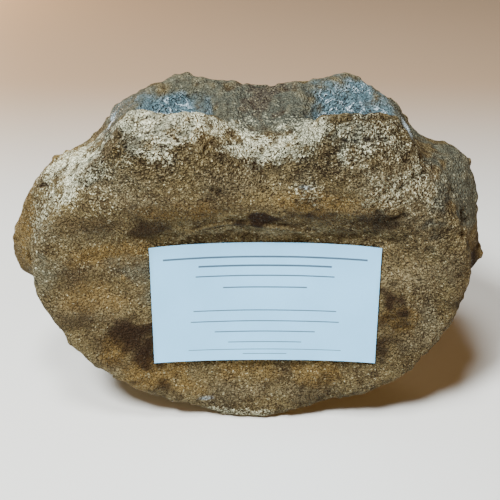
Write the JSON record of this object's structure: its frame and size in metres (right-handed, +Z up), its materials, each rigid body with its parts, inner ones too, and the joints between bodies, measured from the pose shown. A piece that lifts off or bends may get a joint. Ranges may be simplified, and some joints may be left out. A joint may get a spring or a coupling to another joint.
{
  "type": "fossil pliosaur vertebra",
  "caption": "Fossil pliosaur vertebra: a short dished bone centrum with rib lumps and arch hollows, standing on its worn lower rims, with a blank paper label in the front dish.",
  "frame": {"origin": "middle of the bounding box in X and Y, on the surface that the bone stands on", "axes": "+X to the right of somebody facing the labelled front face, +Y from the front face to the back face, +Z up"},
  "size_m": [0.1622, 0.0586, 0.1132],
  "materials": {
    "fossil_bone": "rough, pored, with polished grey-green patches in the arch hollows",
    "label_paper": "smooth matt"
  },
  "bodies": {
    "root": {"centrum": "fossil_bone", "paper_label": "label_paper"}
  },
  "joints": []
}
